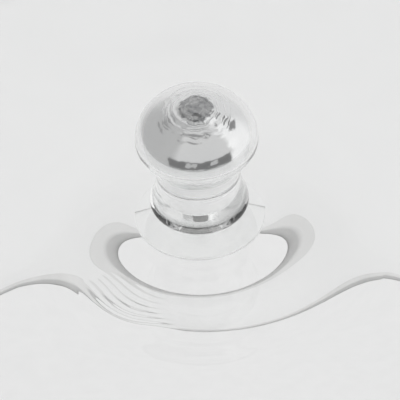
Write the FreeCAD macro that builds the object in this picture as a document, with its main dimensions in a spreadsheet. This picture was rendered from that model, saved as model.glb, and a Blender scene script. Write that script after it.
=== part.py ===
# Bell jar: a blown glass bell with a silvered glass knob, standing on a round base board.
#
# Frame: millimetres, +Z up along the bell's axis, origin on the surface that the feet stand on.
# From the bottom up: four rubber feet with their washers and screws, the base board, a deck
# disc on it, a lipped seat ring round the deck, the glass bell standing on that ring, a clear glass
# disc bonded to the bell's crown, and a hollow glass knob whose cavity is silvered inside.
# Every turned piece is the revolution of an outline whose x is the radius and y the height.

import FreeCAD, Part
import math
import os
import re
import Sketcher

SIZES = {
    # glass bell, outside sizes
    "bell_diameter": 320.0,
    "bell_height": 166.5,
    "bell_wall": 3.2,
    "crown_radius": 1200.0,
    "shoulder_radius": 28.0,
    "rim_round": 1.0,
    # the thick middle of the crown: its full thickness, where that ends, and where the wall is reached
    "boss_thickness": 6.6,
    "boss_flat_radius": 19.0,
    "boss_blend_width": 46.0,
    # clear disc bonded on the crown, and the two bonds
    "disc_radius": 21.5,
    "disc_thickness": 2.4,
    "disc_edge": 0.4,
    "disc_shelf": 0.6,
    "bond_thickness": 0.15,
    "bond_inset": 0.4,
    # knob: ball, waist and collar, each height measured up from the piece below it
    "ball_radius": 20.0,
    "ball_cap_height": 16.6,
    "ball_side_radius": 14.5,
    "ball_under_radius": 5.0,
    "ball_above_waist": 15.1,
    "waist_radius": 13.8,
    "waist_above_collar": 11.5,
    "collar_step": 2.4,
    "collar_top_round": 5.0,
    "collar_under_round": 2.5,
    "collar_level": 4.8,
    "knob_foot_radius": 10.8,
    # the knob's silvered cavity and the plug of its filling hole
    "knob_wall": 2.4,
    "cavity_floor": 4.8,
    "cavity_round": 3.0,
    "cavity_foot_radius": 8.0,
    "silver_thickness": 0.2,
    "plug_radius": 3.5,
    "plug_clearance": 0.05,
    "plug_stand": 1.0,
    # base board, the deck disc on top of it, and the seat ring round the deck
    "board_thickness": 11.0,
    "board_chamfer": 2.0,
    "board_lip": 0.8,
    "deck_thickness": 7.0,
    "deck_clearance": 1.7,
    "deck_chamfer": 0.8,
    "seat_thickness": 1.5,
    "seat_clearance": 0.3,
    "seat_inset": 0.5,
    "lip_rise": 0.3,
    "lip_gap": 0.4,
    "lip_slope": 0.3,
    # feet, washers and screws
    "foot_count": 4,
    "foot_circle_radius": 120.0,
    "foot_top_radius": 9.0,
    "foot_ground_radius": 7.5,
    "foot_height": 7.0,
    "recess_clearance": 0.5,
    "recess_depth": 4.0,
    "washer_radius": 4.8,
    "washer_thickness": 0.8,
    "shank_radius": 1.75,
    "shank_clearance": 0.1,
    "head_radius": 3.6,
    "head_height": 2.2,
    "head_slope": 0.6,
    "screw_grip": 9.0,
    "pilot_spare": 1.0,
}

# Sketcher's numbers for a point of an edge, and for a sketch's own axes and origin
START, END, CENTRE = 1, 2, 3
OUT_AXIS, UP_AXIS = -1, -2
SKETCH_ORIGIN = (-1, 1)

doc = FreeCAD.newDocument("bell_jar")
sheet = doc.addObject("Spreadsheet::Sheet", "Sizes")
for row, (alias, number) in enumerate(SIZES.items(), start=1):
    sheet.set(f"A{row}", alias)
    sheet.set(f"B{row}", str(number))
    sheet.setAlias(f"B{row}", alias)
doc.recompute()

bodies = []


def cell(alias):
    """The present value of one named size."""
    return float(getattr(sheet, alias))


def bound(formula):
    """The formula with each named size turned into a reference to the sheet."""
    return re.sub(r"[a-z_]+", lambda word: f"Sizes.{word[0]}" if word[0] in SIZES else word[0], formula)


def number_of(formula):
    """The value that a formula of named sizes has now."""
    value = sheet.evalExpression(bound(formula))
    return float(getattr(value, "Value", value))


def origin_feature(body, role):
    return next(feature for feature in body.Origin.OriginFeatures if feature.Role == role)


def new_body(label, rise="0"):
    """An empty body whose own origin stands at the given height on the bell's axis."""
    body = doc.addObject("PartDesign::Body", label)
    body.Label = label
    body.setExpression("Placement.Base.z", bound(rise))
    bodies.append(body)
    return body


class Outline:
    """A closed outline of lines and arcs in a body's XZ plane, to be turned about Z.

    Edges are added in order round the outline. pin() and radius() bind their places and
    radii to formulas of named sizes. Edges meet end to end, tangent where the joint is smooth.
    """

    def __init__(self, body, name):
        self.body = body
        self.name = f"{body.Label}_{name}"
        self.sketch = body.newObject("Sketcher::SketchObject", f"{self.name}_outline")
        self.sketch.AttachmentSupport = [(origin_feature(body, "XZ_Plane"), "")]
        self.sketch.MapMode = "FlatFace"
        self.edges = []

    def line(self, first, last):
        segment = Part.LineSegment(FreeCAD.Vector(*first, 0), FreeCAD.Vector(*last, 0))
        self.edges.append((self.sketch.addGeometry(segment), START, END))
        return len(self.edges) - 1

    def arc(self, centre, radius, first, last):
        """The shorter arc of a circle between two points on it."""
        turn_first = math.atan2(first[1] - centre[1], first[0] - centre[0])
        turn_last = math.atan2(last[1] - centre[1], last[0] - centre[0])
        forwards = (turn_last - turn_first) % (2 * math.pi) < math.pi
        low, high = (turn_first, turn_last) if forwards else (turn_last, turn_first)
        circle = Part.Circle(FreeCAD.Vector(*centre, 0), FreeCAD.Vector(0, 0, 1), radius)
        edge = self.sketch.addGeometry(Part.ArcOfCircle(circle, low, high))
        self.edges.append((edge, START, END) if forwards else (edge, END, START))
        return len(self.edges) - 1

    def constrain(self, kind, *where, formula):
        index = self.sketch.addConstraint(Sketcher.Constraint(kind, *where, number_of(formula)))
        self.sketch.setExpression(f"Constraints[{index}]", bound(formula))

    def pin(self, edge, point, x=None, y=None):
        """Bind the first, last or centre point of an edge to a radius x and a height y."""
        geometry, first, last = self.edges[edge]
        position = {"first": first, "last": last, "centre": CENTRE}[point]
        for kind, axis, formula in (("DistanceX", UP_AXIS, x), ("DistanceY", OUT_AXIS, y)):
            if formula == "0":
                self.sketch.addConstraint(
                    Sketcher.Constraint("PointOnObject", geometry, position, axis))
            elif formula is not None:
                self.constrain(kind, *SKETCH_ORIGIN, geometry, position, formula=formula)

    def radius(self, edge, formula):
        self.constrain("Radius", self.edges[edge][0], formula=formula)

    def hold(self, edge, kind):
        self.sketch.addConstraint(Sketcher.Constraint(kind, self.edges[edge][0]))

    def meet(self, sharp):
        """Join each edge to the next: coincident at the sharp joints, tangent at the rest."""
        for number, (geometry, _, last) in enumerate(self.edges):
            following, first, _ = self.edges[(number + 1) % len(self.edges)]
            kind = "Coincident" if number in sharp else "Tangent"
            self.sketch.addConstraint(Sketcher.Constraint(kind, geometry, last, following, first))

    def turn(self, kind="Revolution"):
        """Turn the outline into a solid, or into a cut with kind Groove."""
        feature = self.body.newObject(f"PartDesign::{kind}", f"{self.name}_turned")
        feature.Profile = self.sketch
        feature.ReferenceAxis = (origin_feature(self.body, "Z_Axis"), [""])
        feature.Angle = 360.0
        self.body.Tip = feature
        return feature


def polygon(body, name, corners, kind="Revolution"):
    """Turn an outline of straight lines between corners that are given as formulas."""
    outline = Outline(body, name)
    places = [(number_of(x), number_of(y)) for x, y in corners]
    for number, (x, y) in enumerate(corners):
        edge = outline.line(places[number], places[(number + 1) % len(corners)])
        outline.pin(edge, "first", x=x, y=y)
    outline.meet(sharp=range(len(corners)))
    return outline.turn(kind)


# ---- heights and radii that several pieces share ---------------------------------------------
BOARD_LEVEL = "foot_height"
DECK_LEVEL = f"( {BOARD_LEVEL} + board_thickness )"
RIM_LEVEL = f"( {DECK_LEVEL} + seat_thickness )"
CROWN_LEVEL = f"( {RIM_LEVEL} + bell_height )"
DISC_LEVEL = f"( {CROWN_LEVEL} + bond_thickness )"
KNOB_LEVEL = f"( {DISC_LEVEL} + disc_thickness + bond_thickness )"

BELL_OUTER = "( bell_diameter / 2 )"
BELL_INNER = f"( {BELL_OUTER} - bell_wall )"
DECK_RADIUS = f"( {BELL_INNER} - deck_clearance )"
DISC_SHELF = "( knob_foot_radius + disc_shelf )"


def glass_bell():
    """Upright wall, round shoulder and shallow crown, thickened inside the crown's middle."""
    outer, height, wall = number_of(BELL_OUTER), cell("bell_height"), cell("bell_wall")
    crown, shoulder, rim = cell("crown_radius"), cell("shoulder_radius"), cell("rim_round")
    thick, flat, width = cell("boss_thickness"), cell("boss_flat_radius"), cell("boss_blend_width")
    centre = (0, height - crown)
    spring = centre[1] + math.sqrt((crown - shoulder) ** 2 - (outer - shoulder) ** 2)
    shoulder_centre = (outer - shoulder, spring)

    def on_crown(sphere, x):
        return (x, centre[1] + math.sqrt(sphere ** 2 - x ** 2))

    def shoulder_end(sphere):
        return between(centre, shoulder_centre, sphere / (crown - shoulder))

    step = thick - wall
    blend = (step ** 2 + width ** 2) / (4 * step)
    boss_end = on_crown(crown - thick, flat)
    crown_end = on_crown(crown - wall, flat + width)
    middle = between(boss_end, crown_end, 0.5)
    bulge_centre = between(boss_end, centre, blend / (crown - thick))
    hollow_centre = between(crown_end, centre, -blend / (crown - wall))

    bell = Outline(new_body("glass_bell", RIM_LEVEL), "shell")
    foot = bell.line((outer - wall + rim, 0), (outer - rim, 0))
    outer_rim = bell.arc((outer - rim, rim), rim, (outer - rim, 0), (outer, rim))
    outside = bell.line((outer, rim), (outer, spring))
    outer_shoulder = bell.arc(shoulder_centre, shoulder, (outer, spring), shoulder_end(crown))
    outer_crown = bell.arc(centre, crown, shoulder_end(crown), (0, height))
    axis = bell.line((0, height), (0, height - thick))
    boss = bell.arc(centre, crown - thick, (0, height - thick), boss_end)
    hollow = bell.arc(hollow_centre, blend, boss_end, middle)
    bulge = bell.arc(bulge_centre, blend, middle, crown_end)
    inner_crown = bell.arc(centre, crown - wall, crown_end, shoulder_end(crown - wall))
    inner_shoulder = bell.arc(
        shoulder_centre, shoulder - wall, shoulder_end(crown - wall), (outer - wall, spring))
    inside = bell.line((outer - wall, spring), (outer - wall, rim))
    inner_rim = bell.arc(
        (outer - wall + rim, rim), rim, (outer - wall, rim), (outer - wall + rim, 0))

    bell.meet(sharp=(outer_crown, axis))
    bell.hold(foot, "Horizontal")
    bell.pin(foot, "last", x=f"{BELL_OUTER} - rim_round", y="0")
    bell.radius(outer_rim, "rim_round")
    bell.hold(outside, "Vertical")
    bell.radius(outer_shoulder, "shoulder_radius")
    bell.pin(outer_crown, "last", x="0", y="bell_height")
    bell.pin(outer_crown, "centre", x="0", y="bell_height - crown_radius")
    bell.pin(boss, "first", x="0", y="bell_height - boss_thickness")
    bell.pin(boss, "centre", x="0", y="bell_height - crown_radius")
    bell.pin(boss, "last", x="boss_flat_radius")
    bell.sketch.addConstraint(
        Sketcher.Constraint("Equal", bell.edges[hollow][0], bell.edges[bulge][0]))
    bell.pin(bulge, "last", x="boss_flat_radius + boss_blend_width")
    bell.pin(inner_crown, "centre", x="0", y="bell_height - crown_radius")
    bell.radius(inner_crown, "crown_radius - bell_wall")
    bell.radius(inner_shoulder, "shoulder_radius - bell_wall")
    bell.hold(inside, "Vertical")
    bell.pin(inside, "first", x=BELL_INNER)
    bell.radius(inner_rim, "rim_round")
    bell.turn()


def crown_disc():
    """Clear disc that carries the knob, flared from a thin edge up to a shelf round its foot.

    Its underside follows the crown, one bond above it.
    """
    reach, edge, top = cell("disc_radius"), cell("disc_edge"), cell("disc_thickness")
    shelf = number_of(DISC_SHELF)
    sphere = cell("crown_radius") + cell("bond_thickness")
    sag = sphere - math.sqrt(sphere ** 2 - reach ** 2)
    disc = Outline(new_body("crown_disc", DISC_LEVEL), "blank")
    under = disc.arc((0, -sphere), sphere, (0, 0), (reach, -sag))
    side = disc.line((reach, -sag), (reach, edge))
    flare = disc.line((reach, edge), (shelf, top))
    face = disc.line((shelf, top), (0, top))
    disc.line((0, top), (0, 0))
    disc.meet(sharp=range(5))
    disc.pin(under, "first", x="0", y="0")
    disc.pin(under, "centre", x="0", y="- crown_radius - bond_thickness")
    disc.pin(side, "first", x="disc_radius")
    disc.pin(flare, "first", x="disc_radius", y="disc_edge")
    disc.pin(face, "first", x=DISC_SHELF, y="disc_thickness")
    disc.pin(face, "last", x="0", y="disc_thickness")
    disc.turn()


def disc_bond():
    """Clear adhesive film between the crown and the disc, a little inside the disc's edge."""
    sphere, film = cell("crown_radius"), cell("bond_thickness")
    reach = cell("disc_radius") - cell("bond_inset")
    low = math.sqrt(sphere ** 2 - reach ** 2) - sphere
    high = math.sqrt((sphere + film) ** 2 - reach ** 2) - sphere
    bond = Outline(new_body("disc_bond", CROWN_LEVEL), "film")
    under = bond.arc((0, -sphere), sphere, (0, 0), (reach, low))
    edge = bond.line((reach, low), (reach, high))
    over = bond.arc((0, -sphere), sphere + film, (reach, high), (0, film))
    bond.line((0, film), (0, 0))
    bond.meet(sharp=range(4))
    bond.pin(under, "first", x="0", y="0")
    bond.pin(under, "centre", x="0", y="- crown_radius")
    bond.pin(edge, "first", x="disc_radius - bond_inset")
    bond.hold(edge, "Vertical")
    bond.pin(over, "centre", x="0", y="- crown_radius")
    bond.pin(over, "last", x="0", y="bond_thickness")
    bond.turn()


# ---- the knob --------------------------------------------------------------------------------
WAIST_LEVEL = "( collar_level + waist_above_collar )"
EQUATOR_LEVEL = f"( {WAIST_LEVEL} + ball_above_waist )"
KNOB_TOP = f"( {EQUATOR_LEVEL} + ball_cap_height )"
COLLAR_RADIUS = "( waist_radius + collar_step )"


def between(first, last, share):
    return tuple(a + (b - a) * share for a, b in zip(first, last))


def neck_radius(reach, round_out, distance):
    """Radius of the hollow arc that leaves the waist upright and touches a rounder one."""
    inset = cell("waist_radius") - reach + round_out
    return (inset ** 2 + distance ** 2 - round_out ** 2) / (2 * (reach - cell("waist_radius")))


def ball_circles():
    """Centres and radii of the circles that make the ball and the neck's upper half."""
    ball, waist, cap = cell("ball_radius"), cell("waist_radius"), cell("ball_cap_height")
    side, under = cell("ball_side_radius"), cell("ball_under_radius")
    equator, middle = number_of(EQUATOR_LEVEL), number_of(WAIST_LEVEL)
    top = ((ball - side) ** 2 + cap ** 2 - side ** 2) / (2 * (cap - side))
    neck = neck_radius(ball, under, equator - middle)
    return {
        "top": ((0, equator + cap - top), top),
        "side": ((ball - side, equator), side),
        "under": ((ball - under, equator), under),
        "neck": ((waist + neck, middle), neck),
    }


def ball_edges(outline, offset, first):
    """Add the ball from the axis at its top, down to the waist, at an offset inside it.

    With first False the edges run the other way, up from the waist to the axis.
    """
    inset = cell(offset) if offset in SIZES else number_of(offset)
    circles = ball_circles()
    (top_c, top_r), (side_c, side_r) = circles["top"], circles["side"]
    (under_c, under_r), (neck_c, neck_r) = circles["under"], circles["neck"]
    top_r, side_r, under_r, neck_r = top_r - inset, side_r - inset, under_r - inset, neck_r + inset
    summit = (0, top_c[1] + top_r)
    cap_end = between(top_c, side_c, top_r / (top_r - side_r))
    equator = (side_c[0] + side_r, side_c[1])
    brow = between(under_c, neck_c, under_r / (under_r + neck_r))
    waist = (neck_c[0] - neck_r, neck_c[1])
    runs = [
        (top_c, top_r, summit, cap_end),
        (side_c, side_r, cap_end, equator),
        (under_c, under_r, equator, brow),
        (neck_c, neck_r, brow, waist),
    ]
    if first:
        top, side, under, neck = [outline.arc(*run) for run in runs]
    else:
        neck, under, side, top = [outline.arc(c, r, b, a) for c, r, a, b in reversed(runs)]
    begin, finish = ("first", "last") if first else ("last", "first")
    outline.pin(top, begin, x="0", y=f"{KNOB_TOP} - ( {offset} )")
    outline.pin(top, "centre", x="0")
    outline.radius(side, f"ball_side_radius - ( {offset} )")
    outline.pin(side, finish, x=f"ball_radius - ( {offset} )", y=EQUATOR_LEVEL)
    outline.pin(side, "centre", y=EQUATOR_LEVEL)
    outline.radius(under, f"ball_under_radius - ( {offset} )")
    outline.pin(neck, finish, x=f"waist_radius - ( {offset} )", y=WAIST_LEVEL)
    outline.pin(neck, "centre", y=WAIST_LEVEL)
    return summit, waist


def cavity_outline(body, name, offset, floor, bottom=None):
    """Ball, tapering neck and rounded floor, inside the knob's outside by an offset.

    With a bottom level, the filling hole runs down the axis from the floor to it.
    """
    inset, floor_at = number_of(offset), number_of(floor)
    corner = cell("cavity_round") - (inset - cell("knob_wall"))
    wall, inner = cell("waist_radius") - inset, cell("cavity_foot_radius") - cell("cavity_round")
    waist_at, top_at = number_of(WAIST_LEVEL), number_of(KNOB_TOP) - inset
    outline = Outline(body, name)
    lowest, start, sharp = floor_at, 0, []
    if bottom is not None:
        hole, lowest = cell("plug_radius"), number_of(bottom)
        mouth = outline.line((0, lowest), (hole, lowest))
        bore = outline.line((hole, lowest), (hole, floor_at))
        outline.pin(mouth, "first", x="0", y=bottom)
        outline.pin(mouth, "last", x="plug_radius", y=bottom)
        outline.pin(bore, "last", x="plug_radius", y=floor)
        start, sharp = hole, [mouth, bore]
    ground = outline.line((start, floor_at), (inner, floor_at))
    if bottom is None:
        outline.pin(ground, "first", x="0", y=floor)
    middle, waist = (inner, floor_at + corner), (wall, waist_at)
    lean = math.atan2(waist[1] - middle[1], waist[0] - middle[0])
    lean -= math.acos(corner / math.dist(middle, waist))
    side = (middle[0] + corner * math.cos(lean), middle[1] + corner * math.sin(lean))
    turn = outline.arc(middle, corner, (inner, floor_at), side)
    neck = outline.line(side, waist)
    ball_edges(outline, offset, first=False)
    axis = outline.line((0, top_at), (0, lowest))
    outline.meet(sharp=[*sharp, neck, axis - 1, axis])
    outline.hold(ground, "Horizontal")
    outline.pin(turn, "centre", x="cavity_foot_radius - cavity_round")
    outline.radius(turn, f"cavity_round - ( {offset} - knob_wall )")
    return outline


def knob_glass():
    """Ball, waist and collar, hollowed by the cavity that will be silvered."""
    collar, level, brow = number_of(COLLAR_RADIUS), cell("collar_level"), cell("collar_top_round")
    waist, middle, under = cell("waist_radius"), number_of(WAIST_LEVEL), cell("collar_under_round")
    neck = neck_radius(collar, brow, middle - level)
    neck_centre, brow_centre = (waist + neck, middle), (collar - brow, level)
    joint = between(brow_centre, neck_centre, brow / (brow + neck))
    foot, under_centre = (cell("knob_foot_radius"), 0), (collar - under, level)
    reach = math.dist(foot, under_centre)
    slope = math.atan2(level, under_centre[0] - foot[0]) - math.asin(under / reach)
    length = math.sqrt(reach ** 2 - under ** 2)
    tuck_end = (foot[0] + length * math.cos(slope), length * math.sin(slope))

    body = new_body("knob_glass", KNOB_LEVEL)
    knob = Outline(body, "outside")
    summit, _ = ball_edges(knob, "0", first=True)
    knob.arc(neck_centre, neck, (waist, middle), joint)
    shoulder = knob.arc(brow_centre, brow, joint, (collar, level))
    tuck = knob.arc(under_centre, under, (collar, level), tuck_end)
    skirt = knob.line(tuck_end, foot)
    base = knob.line(foot, (0, 0))
    axis = knob.line((0, 0), summit)
    knob.meet(sharp=(skirt, base, axis))
    knob.pin(shoulder, "last", x=COLLAR_RADIUS, y="collar_level")
    knob.pin(shoulder, "centre", y="collar_level")
    knob.radius(shoulder, "collar_top_round")
    knob.radius(tuck, "collar_under_round")
    knob.pin(base, "first", x="knob_foot_radius", y="0")
    knob.pin(base, "last", x="0", y="0")
    knob.turn()
    cavity_outline(body, "cavity", "knob_wall", "cavity_floor", "0").turn("Groove")


def knob_silvering():
    """Mirror film that lines the whole cavity, open at the filling hole."""
    body = new_body("knob_silvering", KNOB_LEVEL)
    cavity_outline(body, "lining", "knob_wall", "cavity_floor").turn()
    cavity_outline(
        body, "hollow", "knob_wall + silver_thickness", "cavity_floor + silver_thickness",
        "cavity_floor").turn("Groove")


def knob_plug():
    """Stopper of the filling hole: flush below, standing up through the silvering."""
    reach = "plug_radius - plug_clearance"
    top = "cavity_floor + plug_stand"
    polygon(new_body("knob_plug", KNOB_LEVEL), "stopper", [("0", "0"), (reach, "0"), (reach, top), ("0", top)])


def knob_bond():
    """Clear adhesive film between the knob's foot and the disc."""
    reach = "knob_foot_radius - bond_inset"
    base = f"{DISC_LEVEL} + disc_thickness"
    polygon(new_body("knob_bond", base), "film",
            [("0", "0"), (reach, "0"), (reach, "bond_thickness"), ("0", "bond_thickness")])


# ---- the base --------------------------------------------------------------------------------
SCREW_SEAT = "( recess_depth - washer_thickness - head_height )"
SCREW_TOP = f"( {BOARD_LEVEL} + screw_grip - shank_radius - {SCREW_SEAT} )"


def base_board():
    """Round lower board, flush with the bell, drilled from below for the feet's screws."""
    body = new_body("base_board", BOARD_LEVEL)
    polygon(body, "blank", [
        ("0", "0"),
        (f"{BELL_OUTER} - board_chamfer", "0"),
        (BELL_OUTER, "board_chamfer"),
        (BELL_OUTER, "board_thickness - board_lip"),
        (f"{BELL_OUTER} - board_lip", "board_thickness"),
        ("0", "board_thickness"),
    ])
    doc.recompute()
    pilot = body.newObject("Sketcher::SketchObject", "pilot_outline")
    pilot.AttachmentSupport = [(origin_feature(body, "XY_Plane"), "")]
    pilot.MapMode = "FlatFace"
    reach, width = "foot_circle_radius", "shank_radius + shank_clearance"
    place = FreeCAD.Vector(number_of(reach), 0, 0)
    circle = pilot.addGeometry(Part.Circle(place, FreeCAD.Vector(0, 0, 1), number_of(width)))
    pilot.addConstraint(Sketcher.Constraint("PointOnObject", circle, CENTRE, OUT_AXIS))
    for kind, where, formula in (
            ("DistanceX", (*SKETCH_ORIGIN, circle, CENTRE), reach),
            ("Radius", (circle,), width)):
        index = pilot.addConstraint(Sketcher.Constraint(kind, *where, number_of(formula)))
        pilot.setExpression(f"Constraints[{index}]", bound(formula))
    drilled = body.newObject("PartDesign::Pocket", "pilot_hole")
    drilled.Profile = pilot
    drilled.Reversed = True
    drilled.setExpression("Length", bound("screw_grip + pilot_spare"))
    body.Tip = drilled
    doc.recompute()
    ring = body.newObject("PartDesign::PolarPattern", "pilot_ring")
    ring.Originals = [drilled]
    ring.Axis = (origin_feature(body, "Z_Axis"), [""])
    ring.Angle = 360.0
    ring.setExpression("Occurrences", bound("foot_count"))
    body.Tip = ring
    body.setExpression("Placement.Rotation.Angle", bound("180 / foot_count"))
    doc.recompute()


def deck_disc():
    """Upper disc that stands up inside the bell, centres it and carries what is shown."""
    polygon(new_body("deck_disc", DECK_LEVEL), "blank", [
        ("0", "0"),
        (DECK_RADIUS, "0"),
        (DECK_RADIUS, "deck_thickness - deck_chamfer"),
        (f"{DECK_RADIUS} - deck_chamfer", "deck_thickness"),
        ("0", "deck_thickness"),
    ])


def seat_ring():
    """Soft ring that the bell's rim stands on, with a lip between the deck and the bell's wall.

    The lip stands a little above the deck and keeps the bell centred.
    """
    inner, outer = f"{DECK_RADIUS} + seat_clearance", f"{BELL_OUTER} - seat_inset"
    lip, top = f"{BELL_INNER} - lip_gap", "deck_thickness + lip_rise"
    polygon(new_body("seat_ring", DECK_LEVEL), "ring", [
        (inner, "0"),
        (outer, "0"),
        (outer, "seat_thickness"),
        (lip, "seat_thickness"),
        (lip, f"{top} - lip_slope"),
        (f"{lip} - lip_slope", top),
        (f"{inner} + lip_slope", top),
        (inner, f"{top} - lip_slope"),
    ])


def at_foot(body, number):
    """Stand a body on the ring of feet, at its own share of the turn."""
    turn = f"( {number} + 0.5 ) * 360 / foot_count"
    body.setExpression("Placement.Base.x", bound(f"foot_circle_radius * cos({turn} * 1 deg)"))
    body.setExpression("Placement.Base.y", bound(f"foot_circle_radius * sin({turn} * 1 deg)"))


def foot_set(number):
    """One rubber foot with a recess for its washer and screw, which holds it to the board."""
    recess = "washer_radius + recess_clearance"
    bore = "shank_radius + shank_clearance"
    foot = new_body(f"foot_{number + 1}")
    polygon(foot, "rubber", [
        (bore, "recess_depth"),
        (recess, "recess_depth"),
        (recess, "0"),
        ("foot_ground_radius", "0"),
        ("foot_top_radius", "foot_height"),
        (bore, "foot_height"),
    ])
    washer = new_body(f"foot_washer_{number + 1}", "recess_depth - washer_thickness")
    polygon(washer, "flat", [
        (bore, "0"),
        ("washer_radius", "0"),
        ("washer_radius", "washer_thickness"),
        (bore, "washer_thickness"),
    ])
    screw = new_body(f"foot_screw_{number + 1}", SCREW_SEAT)
    polygon(screw, "turned", [
        ("0", "0"),
        ("head_radius - head_slope", "0"),
        ("head_radius", "head_slope"),
        ("head_radius", "head_height"),
        ("shank_radius", "head_height"),
        ("shank_radius", SCREW_TOP),
        ("0", f"{SCREW_TOP} + shank_radius"),
    ])
    for body in (foot, washer, screw):
        at_foot(body, number)


glass_bell()
crown_disc()
disc_bond()
knob_glass()
knob_silvering()
knob_plug()
knob_bond()
base_board()
deck_disc()
seat_ring()
for foot_number in range(int(cell("foot_count"))):
    foot_set(foot_number)
doc.recompute()

for item in doc.Objects:
    faults = {"Invalid", "Error"} & set(item.State)
    if faults:
        raise RuntimeError(f"{item.Label}: {faults}")
for body in bodies:
    if body.Shape.isNull() or not body.Shape.isValid() or len(body.Shape.Solids) != 1:
        raise RuntimeError(f"{body.Label} is not one valid solid")

os.makedirs("parts", exist_ok=True)
for body in bodies:
    body.Shape.exportStep(f"parts/{body.Label}.step")
    box = body.Shape.BoundBox
    print(f"{body.Label:16s} r {box.XMax:8.2f}  z {box.ZMin:8.2f} {box.ZMax:8.2f}  {body.Shape.Volume:10.1f}")
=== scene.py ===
# Bell jar dome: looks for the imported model. Metres, in the CAD frame.
# The bell lifts off the base, so its pieces ride on the body "dome" and the rest on "base".
import math

import bmesh
import bpy
from mathutils import Matrix, Vector, noise


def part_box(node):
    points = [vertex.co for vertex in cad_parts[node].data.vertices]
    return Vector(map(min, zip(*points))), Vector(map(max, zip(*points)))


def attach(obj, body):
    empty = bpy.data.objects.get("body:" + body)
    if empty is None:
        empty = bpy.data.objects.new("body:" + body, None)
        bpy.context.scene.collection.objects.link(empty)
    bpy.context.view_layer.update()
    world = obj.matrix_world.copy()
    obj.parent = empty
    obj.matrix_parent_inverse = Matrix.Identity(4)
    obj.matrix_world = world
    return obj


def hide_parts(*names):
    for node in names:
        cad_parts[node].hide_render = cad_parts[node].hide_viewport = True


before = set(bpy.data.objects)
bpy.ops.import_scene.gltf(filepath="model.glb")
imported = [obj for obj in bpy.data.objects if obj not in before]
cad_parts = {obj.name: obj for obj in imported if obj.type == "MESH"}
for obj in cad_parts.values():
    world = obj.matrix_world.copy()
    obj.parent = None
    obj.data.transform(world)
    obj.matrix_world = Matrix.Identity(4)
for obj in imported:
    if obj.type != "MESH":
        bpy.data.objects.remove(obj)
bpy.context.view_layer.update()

MM = 0.001

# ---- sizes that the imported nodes' boxes give -----------------------------------------------
BELL_LOW, BELL_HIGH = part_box("glass_bell")
BELL_RADIUS = BELL_HIGH[0]
RIM, CROWN = BELL_LOW[2], BELL_HIGH[2]
KNOB_LOW, KNOB_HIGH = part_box("knob_glass")
KNOB = KNOB_LOW[2]
_, DISC_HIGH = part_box("crown_disc")
DISC_RADIUS, DISC_TOP = DISC_HIGH[0], DISC_HIGH[2]

# ---- the bell's own sizes ------------------------------------------------------------------
WALL = 3.2 * MM
CROWN_SPHERE = 1200 * MM
SHOULDER = 28 * MM
RIM_ROUND = 1.0 * MM
BOSS = 6.6 * MM
BOSS_FLAT = 19 * MM
BOSS_BLEND = 46 * MM
# how the blown crown strays inside, chosen for the look of the far rim through it: the boss stands
# off the axis, the glass is a little thicker to one side, and thicker across than front to back, all
# of it fading out towards the shoulder
BOSS_OFF = Vector((0.8 * MM, -5.1 * MM))
LEAN = Vector((0.0177, -0.0172))
SQUARE = 0.52
FADE = 80 * MM
# blowing streaks round the boss on its front left: middle (reach, bearing), half widths, pitch, depth
STREAK_REACH, STREAK_HALF, STREAK_PITCH, STREAK_DEPTH = 45 * MM, 11 * MM, 2.3 * MM, 0.007 * MM
STREAK_BEARING, STREAK_SPAN = math.radians(-123), math.radians(24)

# ---- the disc's and the knob's own sizes -----------------------------------------------------
BOND = 0.15 * MM
FEATHER = 0.08 * MM
FLARE_LIFT = 0.75
DISC_SHELF = 11.4 * MM
BALL, CAP, SIDE, UNDER = 20 * MM, 16.6 * MM, 14.5 * MM, 5 * MM
WAIST, COLLAR, BROW, TUCK, FOOT = 13.8 * MM, 16.2 * MM, 5 * MM, 2.5 * MM, 10.8 * MM
COLLAR_UP, WAIST_UP, EQUATOR_UP = 4.8 * MM, 16.3 * MM, 31.4 * MM
KNOB_WALL, FLOOR_UP, FLOOR_ROUND, FLOOR_REACH = 2.4 * MM, 4.8 * MM, 3 * MM, 8 * MM
SILVER = 0.2 * MM
PLUG = 3.5 * MM
BOND_INSET = 0.4 * MM
JOIN = 0.02 * MM               # how far a bond film reaches into the glass on either side of it
SKIN_GAP = 0.02 * MM           # between the cavity's wall and its silvering
# where the ball was closed: the silvering is grey there, and ripples run out from it
POLE_SPOT = Vector((0.2 * MM, -1.6 * MM, KNOB_HIGH[2] - KNOB_WALL))
RIPPLE_NEAR, RIPPLE_FAR = 4.0 * MM, 13.5 * MM
RIPPLE_LENGTH, RIPPLE_HEIGHT = 2.1 * MM, 0.11 * MM
RIPPLE_DEPTH, RIPPLE_FADE = 9 * MM, 6 * MM
NECK_RING, NECK_SHARE = 1.7 * MM, 0.0022
SPOT_RAGGED, SPOT_INSIDE, SPOT_OUTSIDE = 3.2 * MM, 6.4 * MM, 7.4 * MM


# ---- building helpers ------------------------------------------------------------------------
CORNER = math.radians(38)      # a sharper turn than this is a real corner


def new_object(name, mesh, body, node=None):
    obj = bpy.data.objects.new(name, mesh)
    bpy.context.scene.collection.objects.link(obj)
    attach(obj, body)
    if node:
        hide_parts(node)
    return obj


def arc(centre, radius, start, end, steps):
    """Points on a circle from one angle to another, in degrees, both ends included."""
    turns = [math.radians(start + (end - start) * i / steps) for i in range(steps + 1)]
    return [(centre[0] + radius * math.cos(t), centre[1] + radius * math.sin(t)) for t in turns]


def line(first, last, steps):
    return [tuple(a + (b - a) * i / steps for a, b in zip(first, last)) for i in range(steps + 1)]


def join(*runs):
    """One outline from runs that meet end to end."""
    points = []
    for run in runs:
        for point in run:
            if not points or math.dist(point, points[-1]) > 1e-7:
                points.append(point)
    return points


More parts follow.
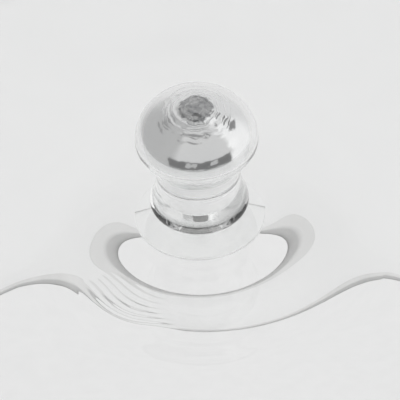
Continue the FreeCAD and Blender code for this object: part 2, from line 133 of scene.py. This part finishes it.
def lathe(name, outline, segments, base=0.0, closed=False, bend=None):
    """A mesh turned about Z from (radius, height) points. Points on the axis become poles.

    bend moves each vertex, given its point, as the maker's hand left it.
    """
    bm = bmesh.new()
    rings = []
    for radius, height in outline:
        if radius < 1e-7:
            rings.append([bm.verts.new((0, 0, base + height))])
            continue
        ring = []
        for i in range(segments):
            turn = 2 * math.pi * i / segments
            ring.append(bm.verts.new((radius * math.cos(turn), radius * math.sin(turn), base + height)))
        rings.append(ring)
    pairs = list(zip(rings, rings[1:]))
    if closed:
        pairs.append((rings[-1], rings[0]))
    for lower, upper in pairs:
        for i in range(segments):
            j = (i + 1) % segments
            corners = [lower[i % len(lower)], lower[j % len(lower)]]
            corners += [upper[j % len(upper)], upper[i % len(upper)]]
            unique = list(dict.fromkeys(corners))
            if len(unique) > 2:
                bm.faces.new(unique)
    if bend:
        for vertex in bm.verts:
            vertex.co = bend(vertex.co.copy())
    bmesh.ops.recalc_face_normals(bm, faces=bm.faces)
    for face in bm.faces:
        face.smooth = True
    mesh = bpy.data.meshes.new(name)
    bm.to_mesh(mesh)
    bm.free()
    mesh.set_sharp_from_angle(angle=CORNER)
    return mesh


# ---- materials --------------------------------------------------------------------------------
def material(name):
    mat = bpy.data.materials.new(name)
    mat.use_nodes = True
    nodes, links = mat.node_tree.nodes, mat.node_tree.links
    shader = next(n for n in nodes if n.type == "BSDF_PRINCIPLED")
    return mat, nodes, links, shader


def texture(nodes, links, kind, scale, **settings):
    """A noise texture on object coordinates."""
    coords = nodes.new("ShaderNodeTexCoord")
    tex = nodes.new(kind)
    tex.inputs["Scale"].default_value = scale
    for key, value in settings.items():
        tex.inputs[key].default_value = value
    links.new(coords.outputs["Object"], tex.inputs["Vector"])
    return tex


def ramp(nodes, links, source, stops):
    node = nodes.new("ShaderNodeValToRGB")
    elements = node.color_ramp.elements
    while len(elements) < len(stops):
        elements.new(0.5)
    for element, (place, colour) in zip(elements, stops):
        element.position = place
        element.color = (*colour, 1) if len(colour) == 3 else colour
    links.new(source, node.inputs[0])
    return node


def bump(nodes, links, shader, source, strength, distance):
    node = nodes.new("ShaderNodeBump")
    node.inputs["Strength"].default_value = strength
    node.inputs["Distance"].default_value = distance
    links.new(source, node.inputs["Height"])
    links.new(node.outputs["Normal"], shader.inputs["Normal"])


def glass_material(name, tint, ior=1.5):
    """Clear glass with a faint cloud in its tint. Rays that light a dull surface pass straight through."""
    mat, nodes, links, shader = material(name)
    shader.inputs["Transmission Weight"].default_value = 1.0
    shader.inputs["IOR"].default_value = ior
    shader.inputs["Roughness"].default_value = 0.0
    cloud = texture(nodes, links, "ShaderNodeTexNoise", 18.0, Detail=2.0)
    clearer = tuple(min(1, c + 0.004) for c in tint)
    shade = ramp(nodes, links, cloud.outputs["Fac"], [(0.35, tint), (0.65, clearer)])
    links.new(shade.outputs["Color"], shader.inputs["Base Color"])
    path = nodes.new("ShaderNodeLightPath")
    lighting = nodes.new("ShaderNodeMath")
    lighting.operation = "MAXIMUM"
    links.new(path.outputs["Is Shadow Ray"], lighting.inputs[0])
    links.new(path.outputs["Is Diffuse Ray"], lighting.inputs[1])
    clear = nodes.new("ShaderNodeBsdfTransparent")
    mix = nodes.new("ShaderNodeMixShader")
    links.new(lighting.outputs[0], mix.inputs[0])
    links.new(shader.outputs[0], mix.inputs[1])
    links.new(clear.outputs[0], mix.inputs[2])
    output = next(n for n in nodes if n.type == "OUTPUT_MATERIAL")
    links.new(mix.outputs[0], output.inputs["Surface"])
    return mat


bell_glass = glass_material("bell_glass", (0.994, 0.996, 0.995))
knob_clear = glass_material("knob_glass", (0.994, 0.996, 0.995))
disc_clear = glass_material("clear_disc", (0.994, 0.996, 0.995))

bond_clear = glass_material("bond_film", (0.994, 0.996, 0.995))

silver, nodes, links, shader = material("silvering")
shader.inputs["Metallic"].default_value = 1.0
shader.inputs["Roughness"].default_value = 0.02
film = texture(nodes, links, "ShaderNodeTexNoise", 60.0, Detail=4.0)
tone = ramp(nodes, links, film.outputs["Fac"], [(0.3, (0.86, 0.865, 0.87)), (0.7, (0.93, 0.93, 0.93))])
blotch = texture(nodes, links, "ShaderNodeTexNoise", 420.0, Detail=3.0, Distortion=1.2)
worn = ramp(nodes, links, blotch.outputs["Fac"], [(0.38, (0.30, 0.305, 0.31)), (0.62, (0.50, 0.50, 0.50))])
place = nodes.new("ShaderNodeTexCoord")
reach = nodes.new("ShaderNodeVectorMath")
reach.operation = "DISTANCE"
reach.inputs[1].default_value = (POLE_SPOT.x, POLE_SPOT.y, POLE_SPOT.z)
links.new(place.outputs["Object"], reach.inputs[0])
ragged = nodes.new("ShaderNodeMath")
ragged.operation = "MULTIPLY_ADD"
ragged.inputs[1].default_value = SPOT_RAGGED
links.new(blotch.outputs["Fac"], ragged.inputs[0])
links.new(reach.outputs["Value"], ragged.inputs[2])
spot = nodes.new("ShaderNodeMapRange")
spot.interpolation_type = "SMOOTHSTEP"
spot.inputs["From Min"].default_value = SPOT_OUTSIDE
spot.inputs["From Max"].default_value = SPOT_INSIDE
links.new(ragged.outputs[0], spot.inputs["Value"])
blend = nodes.new("ShaderNodeMix")
blend.data_type = "RGBA"
links.new(spot.outputs["Result"], blend.inputs["Factor"])
links.new(tone.outputs["Color"], blend.inputs["A"])
links.new(worn.outputs["Color"], blend.inputs["B"])
links.new(blend.outputs["Result"], shader.inputs["Base Color"])


def lacquer(name, low, high, roughness):
    """White lacquer with a faint spray texture."""
    mat, nodes, links, shader = material(name)
    grain = texture(nodes, links, "ShaderNodeTexNoise", 220.0, Detail=3.0)
    tone = ramp(nodes, links, grain.outputs["Fac"], [(0.3, low), (0.7, high)])
    links.new(tone.outputs["Color"], shader.inputs["Base Color"])
    shader.inputs["Roughness"].default_value = roughness
    bump(nodes, links, shader, grain.outputs["Fac"], 0.05, 0.0002)
    return mat


board_white = lacquer("board_lacquer", (0.79, 0.79, 0.785), (0.81, 0.81, 0.805), 0.45)
deck_white = lacquer("deck_lacquer", (0.78, 0.78, 0.78), (0.80, 0.80, 0.80), 0.6)

silicone, nodes, links, shader = material("silicone")
dust = texture(nodes, links, "ShaderNodeTexNoise", 90.0, Detail=4.0)
tone = ramp(nodes, links, dust.outputs["Fac"], [(0.3, (0.62, 0.62, 0.615)), (0.7, (0.69, 0.69, 0.685))])
links.new(tone.outputs["Color"], shader.inputs["Base Color"])
shader.inputs["Roughness"].default_value = 0.5
bump(nodes, links, shader, dust.outputs["Fac"], 0.1, 0.0002)

stopper, nodes, links, shader = material("stopper")
bloom = texture(nodes, links, "ShaderNodeTexNoise", 500.0, Detail=3.0)
tone = ramp(nodes, links, bloom.outputs["Fac"], [(0.3, (0.80, 0.80, 0.79)), (0.7, (0.88, 0.88, 0.87))])
links.new(tone.outputs["Color"], shader.inputs["Base Color"])
shader.inputs["Roughness"].default_value = 0.5

rubber, nodes, links, shader = material("rubber")
speck = texture(nodes, links, "ShaderNodeTexNoise", 900.0, Detail=3.0)
tone = ramp(nodes, links, speck.outputs["Fac"], [(0.3, (0.02, 0.02, 0.02)), (0.7, (0.045, 0.045, 0.045))])
links.new(tone.outputs["Color"], shader.inputs["Base Color"])
shader.inputs["Roughness"].default_value = 0.75

zinc, nodes, links, shader = material("zinc_steel")
shader.inputs["Metallic"].default_value = 1.0
swirl = texture(nodes, links, "ShaderNodeTexNoise", 700.0, Detail=3.0)
tone = ramp(nodes, links, swirl.outputs["Fac"], [(0.3, (0.55, 0.55, 0.54)), (0.7, (0.72, 0.72, 0.71))])
links.new(tone.outputs["Color"], shader.inputs["Base Color"])
shader.inputs["Roughness"].default_value = 0.35


# ---- the bell ----------------------------------------------------------------------------------
def bell_outline():
    """Closed outline of the bell's glass, heights above the rim's lowest point."""
    height = CROWN - RIM
    centre = (0, height - CROWN_SPHERE)
    spring = centre[1] + math.sqrt((CROWN_SPHERE - SHOULDER) ** 2 - (BELL_RADIUS - SHOULDER) ** 2)
    corner = (BELL_RADIUS - SHOULDER, spring)
    lean = math.degrees(math.atan2(corner[1] - centre[1], corner[0]))
    inner = BELL_RADIUS - WALL
    boss_end = math.degrees(math.acos(BOSS_FLAT / (CROWN_SPHERE - BOSS)))
    blend_end = math.degrees(math.acos((BOSS_FLAT + BOSS_BLEND) / (CROWN_SPHERE - WALL)))
    blend = []
    for i in range(1, 120):
        share = 1 - i / 120
        turn = math.radians(boss_end + (blend_end - boss_end) * share)
        thickness = BOSS + (WALL - BOSS) * share * share * (3 - 2 * share)
        radius = CROWN_SPHERE - thickness
        blend.append((radius * math.cos(turn), centre[1] + radius * math.sin(turn)))
    return join(
        arc(centre, CROWN_SPHERE, 90, lean, 60),
        arc(corner, SHOULDER, lean, 0, 30),
        line((BELL_RADIUS, spring), (BELL_RADIUS, RIM_ROUND), 12),
        arc((BELL_RADIUS - RIM_ROUND, RIM_ROUND), RIM_ROUND, 0, -90, 8),
        arc((inner + RIM_ROUND, RIM_ROUND), RIM_ROUND, -90, -180, 8),
        line((inner, RIM_ROUND), (inner, spring), 12),
        arc(corner, SHOULDER - WALL, 0, lean, 30),
        arc(centre, CROWN_SPHERE - WALL, lean, blend_end, 24),
        blend,
        arc(centre, CROWN_SPHERE - BOSS, boss_end, 90, 24),
    )


def boss_share(reach):
    """How much of the boss's extra thickness stands at a distance from the boss's middle."""
    share = min(max((reach - BOSS_FLAT) / BOSS_BLEND, 0), 1)
    return 1 - share * share * (3 - 2 * share)


def blown(point):
    """Move a point of the crown's inner skin to where the blower's hand left it."""
    if point.z < CROWN - 12 * MM:
        return point
    reach = Vector((point.x, point.y))
    skin = CROWN - CROWN_SPHERE + math.sqrt(CROWN_SPHERE ** 2 - reach.length_squared)
    if skin - point.z < 0.5 * WALL:
        return point
    fade = math.exp(-(reach.length / FADE) ** 4)
    extra = (BOSS - WALL) * (boss_share((reach - BOSS_OFF).length) - boss_share(reach.length))
    extra += fade * (LEAN.dot(reach) + SQUARE * (reach.x ** 2 - reach.y ** 2))
    off = math.remainder(math.atan2(reach.y, reach.x) - STREAK_BEARING, 2 * math.pi) / STREAK_SPAN
    band = (reach.length - STREAK_REACH) / STREAK_HALF
    if abs(off) < 1 and abs(band) < 1:
        wave = math.sin(2 * math.pi * reach.length / STREAK_PITCH + 7 * noise.noise(point * 60))
        extra += STREAK_DEPTH * (1 - off * off) * (1 - band * band) * wave
    point.z -= extra
    return point


bell_mesh = lathe("bell", bell_outline(), 360, RIM, bend=blown)
bell = new_object("bell", bell_mesh, "dome", "glass_bell")
bell.data.materials.append(bell_glass)


def disc_rise(reach):
    """Height of the disc's flared top, feathered to almost nothing at its edge."""
    share = (DISC_RADIUS - reach) / (DISC_RADIUS - DISC_SHELF)
    edge = CROWN + BOND - disc_sag + FEATHER
    return edge + (DISC_TOP - edge) * (FLARE_LIFT * share + (1 - FLARE_LIFT) * share * share)


disc_sphere = CROWN_SPHERE + BOND
disc_sag = disc_sphere - math.sqrt(disc_sphere ** 2 - DISC_RADIUS ** 2)
disc_outline = join(
    [(0, CROWN + BOND)],
    [(DISC_RADIUS * i / 12, CROWN + BOND - disc_sag * (i / 12) ** 2) for i in range(1, 13)],
    [(r, disc_rise(r)) for r in (DISC_RADIUS + (DISC_SHELF - DISC_RADIUS) * i / 32 for i in range(33))],
    [(0, DISC_TOP)],
)
disc = new_object("disc", lathe("disc", disc_outline, 256), "dome", "crown_disc")
disc.data.materials.append(disc_clear)


# ---- the knob ----------------------------------------------------------------------------------
def neck_radius(reach, round_out, distance):
    inset = WAIST - reach + round_out
    return (inset ** 2 + distance ** 2 - round_out ** 2) / (2 * (reach - WAIST))


def ball_outline(inset=0.0):
    """From the knob's summit down to its waist, an inset inside the outer surface."""
    top = ((BALL - SIDE) ** 2 + CAP ** 2 - SIDE ** 2) / (2 * (CAP - SIDE))
    top_centre, side_centre = (0, EQUATOR_UP + CAP - top), (BALL - SIDE, EQUATOR_UP)
    under_centre = (BALL - UNDER, EQUATOR_UP)
    neck = neck_radius(BALL, UNDER, EQUATOR_UP - WAIST_UP)
    neck_centre = (WAIST + neck, WAIST_UP)
    cap_turn = math.degrees(math.atan2(side_centre[1] - top_centre[1], side_centre[0] - top_centre[0]))
    brow_turn = math.degrees(math.atan2(neck_centre[1] - under_centre[1], neck_centre[0] - under_centre[0]))
    return join(
        arc(top_centre, top - inset, 90, cap_turn, 110),
        arc(side_centre, SIDE - inset, cap_turn, 0, 24),
        arc(under_centre, UNDER - inset, 0, brow_turn, 24),
        arc(neck_centre, neck + inset, brow_turn + 180, 180, 24),
    )


def knob_outside():
    neck = neck_radius(COLLAR, BROW, WAIST_UP - COLLAR_UP)
    neck_centre, brow_centre = (WAIST + neck, WAIST_UP), (COLLAR - BROW, COLLAR_UP)
    turn = math.degrees(math.atan2(neck_centre[1] - brow_centre[1], neck_centre[0] - brow_centre[0]))
    tuck_centre = (COLLAR - TUCK, COLLAR_UP)
    span = math.hypot(tuck_centre[0] - FOOT, COLLAR_UP)
    slope = math.atan2(COLLAR_UP, tuck_centre[0] - FOOT) - math.asin(TUCK / span)
    return join(
        ball_outline(),
        arc(neck_centre, neck, 180, 180 + turn, 24),
        arc(brow_centre, BROW, turn, 0, 12),
        arc(tuck_centre, TUCK, 0, math.degrees(slope) - 90, 16),
        [(FOOT, 0)],
    )


def cavity(inset, floor):
    """From the cavity's summit down to the edge of the filling hole."""
    corner = FLOOR_ROUND - (inset - KNOB_WALL)
    wall = WAIST - inset
    middle = (FLOOR_REACH - FLOOR_ROUND, floor + corner)
    lean = math.atan2(WAIST_UP - middle[1], wall - middle[0])
    lean -= math.acos(corner / math.dist(middle, (wall, WAIST_UP)))
    turn = arc(middle, corner, math.degrees(lean), -90, 16)
    return join(ball_outline(inset), line((wall, WAIST_UP), turn[0], 16), turn, [(PLUG, floor)])


def crown_skin(reach):
    """Height of the crown's outer skin at a distance from the axis."""
    return CROWN - CROWN_SPHERE + math.sqrt(CROWN_SPHERE ** 2 - reach ** 2)


def bond_outline(reach, under, over):
    """A film between two skins, each given as a height at a distance from the axis."""
    steps = [reach * i / 10 for i in range(11)]
    return [(r, under(r)) for r in steps] + [(r, over(r)) for r in reversed(steps)]


lower_bond = new_object("lower_bond", lathe("lower_bond", bond_outline(
    DISC_RADIUS - BOND_INSET, lambda r: crown_skin(r) - JOIN, lambda r: crown_skin(r) + BOND + JOIN), 192),
    "dome", "disc_bond")
lower_bond.data.materials.append(bond_clear)
upper_bond = new_object("upper_bond", lathe("upper_bond", bond_outline(
    FOOT - BOND_INSET, lambda r: DISC_TOP - JOIN, lambda r: KNOB + JOIN), 128),
    "dome", "knob_bond")
upper_bond.data.materials.append(bond_clear)

knob_glass_outline = join(
    knob_outside(),
    line((PLUG, 0), (PLUG, FLOOR_UP), 3),
    list(reversed(cavity(KNOB_WALL, FLOOR_UP))))
knob = new_object("knob", lathe("knob", knob_glass_outline, 192, KNOB), "dome", "knob_glass")
knob.data.materials.append(knob_clear)

lining = join(
    cavity(KNOB_WALL + SKIN_GAP, FLOOR_UP + SKIN_GAP),
    list(reversed(cavity(KNOB_WALL + SILVER, FLOOR_UP + SILVER))))


def wrinkled(point):
    """Ripple the silvered skin round the ball's pole, along the axis, and the neck in faint rings."""
    if point.z > POLE_SPOT.z - RIPPLE_DEPTH:
        away = (point - POLE_SPOT).length
        rise = min(max((away - 1 * MM) / RIPPLE_NEAR, 0.25), 1)
        fall = min(max((RIPPLE_FAR + 2 * MM - away) / RIPPLE_FADE, 0), 1)
        warp = noise.noise(point * 210) * 4.0 + noise.noise(point * 520) * 1.8
        swell = math.sin(2 * math.pi * away / RIPPLE_LENGTH + warp)
        point.z += RIPPLE_HEIGHT * rise * fall * fall * swell
    elif point.z < KNOB + EQUATOR_UP - 8 * MM:
        rings = math.sin(2 * math.pi * point.z / NECK_RING + noise.noise(point * 90) * 1.5)
        shrink = 1 + NECK_SHARE * rings
        point.x *= shrink
        point.y *= shrink
    return point


film_obj = new_object("knob_mirror", lathe("knob_mirror", lining, 256, KNOB, bend=wrinkled),
                      "dome", "knob_silvering")
film_obj.data.materials.append(silver)

# ---- the base ----------------------------------------------------------------------------------
SEAT_LOW, SEAT_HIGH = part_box("seat_ring")
_, DECK_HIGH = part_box("deck_disc")
SEAT_GAP, LIP_GAP, LIP_ROUND = 0.1 * MM, 0.4 * MM, 0.25 * MM
lip_inner, lip_outer = DECK_HIGH[0] + SEAT_GAP, BELL_RADIUS - WALL - LIP_GAP
lip_top = SEAT_HIGH[2]
seat_outline = join(
    [(lip_inner, SEAT_LOW[2])],
    arc((SEAT_HIGH[0] - LIP_ROUND, SEAT_LOW[2] + LIP_ROUND), LIP_ROUND, -90, 0, 6),
    arc((SEAT_HIGH[0] - LIP_ROUND, RIM - LIP_ROUND), LIP_ROUND, 0, 90, 6),
    [(lip_outer, RIM)],
    arc((lip_outer - LIP_ROUND, lip_top - LIP_ROUND), LIP_ROUND, 0, 90, 8),
    arc((lip_inner + LIP_ROUND, lip_top - LIP_ROUND), LIP_ROUND, 90, 180, 8),
)
seat = new_object("seat", lathe("seat", seat_outline, 512, closed=True), "base", "seat_ring")
seat.data.materials.append(silicone)


def paint(node, mat):
    """Give a CAD piece its material; its shape stays as it is."""
    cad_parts[node].data.materials.clear()
    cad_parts[node].data.materials.append(mat)


paint("knob_plug", stopper)
paint("base_board", board_white)
paint("deck_disc", deck_white)
for i in range(1, 5):
    paint(f"foot_{i}", rubber)
    paint(f"foot_washer_{i}", zinc)
    paint(f"foot_screw_{i}", zinc)

# ---- floor, light and camera -------------------------------------------------------------------
FLOOR_RADIUS = 0.62
floor_mesh = lathe("floor", [(0, 0), (FLOOR_RADIUS, 0)], 96)
floor = bpy.data.objects.new("floor", floor_mesh)
bpy.context.scene.collection.objects.link(floor)
floor_mat, nodes, links, shader = material("floor_white")
grain = texture(nodes, links, "ShaderNodeTexNoise", 40.0, Detail=3.0)
tone = ramp(nodes, links, grain.outputs["Fac"], [(0.3, (0.79, 0.79, 0.79)), (0.7, (0.80, 0.80, 0.80))])
links.new(tone.outputs["Color"], shader.inputs["Base Color"])
shader.inputs["Roughness"].default_value = 0.7
floor.data.materials.append(floor_mat)

world = bpy.data.worlds.new("studio")
bpy.context.scene.world = world
world.use_nodes = True
nodes, links = world.node_tree.nodes, world.node_tree.links
background = next(n for n in nodes if n.type == "BACKGROUND")


def maths(operation, *values, clamp=False):
    """A Math node; each value is a number or another node's output."""
    node = nodes.new("ShaderNodeMath")
    node.operation = operation
    node.use_clamp = clamp
    for socket, value in zip(node.inputs, values):
        if isinstance(value, (int, float)):
            socket.default_value = value
        else:
            links.new(value, socket)
    return node.outputs[0]


coords = nodes.new("ShaderNodeTexCoord")
split = nodes.new("ShaderNodeSeparateXYZ")
links.new(coords.outputs["Generated"], split.inputs[0])
wobble = nodes.new("ShaderNodeTexNoise")
wobble.inputs["Scale"].default_value = 4.0
wobble.inputs["Detail"].default_value = 3.0
links.new(coords.outputs["Generated"], wobble.inputs["Vector"])
stray = maths("SUBTRACT", wobble.outputs["Fac"], 0.5)
front = maths("MULTIPLY", split.outputs["Y"], -1.0)
DEGREE = math.degrees(1)
bearing = maths("MULTIPLY", maths("ARCTAN2", split.outputs["X"], front), DEGREE)
rise = maths("MULTIPLY", maths("ARCSINE", split.outputs["Z"]), DEGREE)


def edge(source, centre, half, soft):
    """1 within half of a centre, falling to 0 over a soft edge."""
    away = maths("ABSOLUTE", maths("SUBTRACT", source, centre))
    node = nodes.new("ShaderNodeMapRange")
    node.interpolation_type = "SMOOTHSTEP"
    links.new(away, node.inputs["Value"])
    node.inputs["From Min"].default_value = half + soft
    node.inputs["From Max"].default_value = half
    node.inputs["To Min"].default_value = 0.0
    node.inputs["To Max"].default_value = 1.0
    return node.outputs[0]


def card(under, tone, bearing_at, bearing_half, rise_at, rise_half, soft, ragged=0.0):
    """Lay a card of one tone over the light under it. Angles in degrees; bearing 0 is the front."""
    side = maths("ADD", bearing, maths("MULTIPLY", stray, ragged))
    level = maths("ADD", rise, maths("MULTIPLY", stray, ragged))
    across = edge(side, bearing_at, bearing_half, soft)
    mask = maths("MULTIPLY", across, edge(level, rise_at, rise_half, soft))
    return maths("ADD", under, maths("MULTIPLY", mask, maths("SUBTRACT", tone, under)))


def patch(under, tone, bearing_at, rise_at, half, soft, ragged=0.0):
    """Lay a round patch of one tone over the light under it, by its angle from a direction."""
    out, level = math.radians(bearing_at), math.radians(rise_at)
    node = nodes.new("ShaderNodeVectorMath")
    node.operation = "DOT_PRODUCT"
    links.new(coords.outputs["Generated"], node.inputs[0])
    node.inputs[1].default_value = (
        math.sin(out) * math.cos(level), -math.cos(out) * math.cos(level), math.sin(level))
    angle = maths("MULTIPLY", maths("ARCCOSINE", node.outputs["Value"]), DEGREE)
    away = maths("ADD", angle, maths("MULTIPLY", stray, ragged))
    mask = edge(away, 0, half, soft)
    return maths("ADD", under, maths("MULTIPLY", mask, maths("SUBTRACT", tone, under)))


# the studio that the mirror shows, laid out for its reflections: a pale room, greyer on the left and
# brighter on the right, a pale screen in front, a dark band at floor level below it, and dark spots
# in the ceiling. Behind, the crown's reflection needs an even tone
light = 0.74
for tone, bearing_at, bearing_half, rise_at, rise_half, soft, ragged in (
        (0.50, -98, 42, 0, 60, 30, 0),         # left wall
        (0.95, 88, 24, 14, 30, 24, 0),         # right window
        (0.66, 18, 48, 50, 44, 16, 10),        # pale screen
        (0.20, 5, 58, -8, 9, 6, 12),           # dark side of the room
        (0.50, -12, 9, -5, 4, 3, 25),          # doorway in it
        (0.55, 30, 5, -5, 4, 3, 25)):          # shelf in it
    light = card(light, tone, bearing_at, bearing_half, rise_at, rise_half, soft, ragged)
for tone, bearing_at, rise_at, half, soft, ragged in (
        (0.30, 180, 86, 12, 6, 30),            # gap in the ceiling
        (0.34, -8, 68, 5, 4, 40),              # beams under it
        (0.36, -62, 66, 6, 4, 45),
        (0.38, 52, 68, 5, 4, 45),
        (0.98, 80, 16, 7, 9, 22),              # lamp to the right
        (0.28, 112, 34, 9, 5, 25),             # stand behind to the right
        (0.34, -118, 40, 9, 6, 28)):           # stand behind to the left
    light = patch(light, tone, bearing_at, rise_at, half, soft, ragged)
links.new(light, background.inputs["Strength"])
background.inputs["Color"].default_value = (1.0, 1.0, 1.0, 1)

# a large soft lamp overhead lights the floor and the deck; the mirror shows the room instead of it
lamp_data = bpy.data.lights.new("overhead", "AREA")
lamp_data.shape = "DISK"
lamp_data.size = 3.0
lamp_data.energy = 26
lamp = bpy.data.objects.new("overhead", lamp_data)
bpy.context.scene.collection.objects.link(lamp)
lamp.location = (0, 0, 2.0)
lamp.visible_camera = lamp.visible_glossy = lamp.visible_transmission = False

scene = bpy.context.scene
scene.view_settings.view_transform = "Standard"
scene.cycles.max_bounces = 32
scene.cycles.transmission_bounces = 32
scene.cycles.glossy_bounces = 24

ELEVATION = math.radians(43.4)
DISTANCE = 1.5
FRAME_WIDTH = 131.2 * MM       # what the frame takes in at the crown
ROLL = math.radians(2.7)
RING_ACROSS, RING_UP = -0.16 * MM, -4.76 * MM      # the crown's middle from the frame's middle
ring = Vector((0, 0, CROWN))
forward = Vector((0, math.cos(ELEVATION), -math.sin(ELEVATION)))
right = Vector((1, 0, 0))
up = right.cross(forward)
cam = bpy.data.cameras.new("camera")
cam.sensor_width = 36
cam.lens = 36 * DISTANCE / FRAME_WIDTH
camera = bpy.data.objects.new("camera", cam)
scene.collection.objects.link(camera)
scene.camera = camera
toward_ring = (forward * DISTANCE + right * RING_ACROSS + up * RING_UP).normalized()
camera.location = ring - toward_ring * DISTANCE
basis = Matrix((right, up, -forward)).transposed()
camera.rotation_euler = (basis @ Matrix.Rotation(-ROLL, 3, "Z")).to_euler()
cam.clip_end = 50
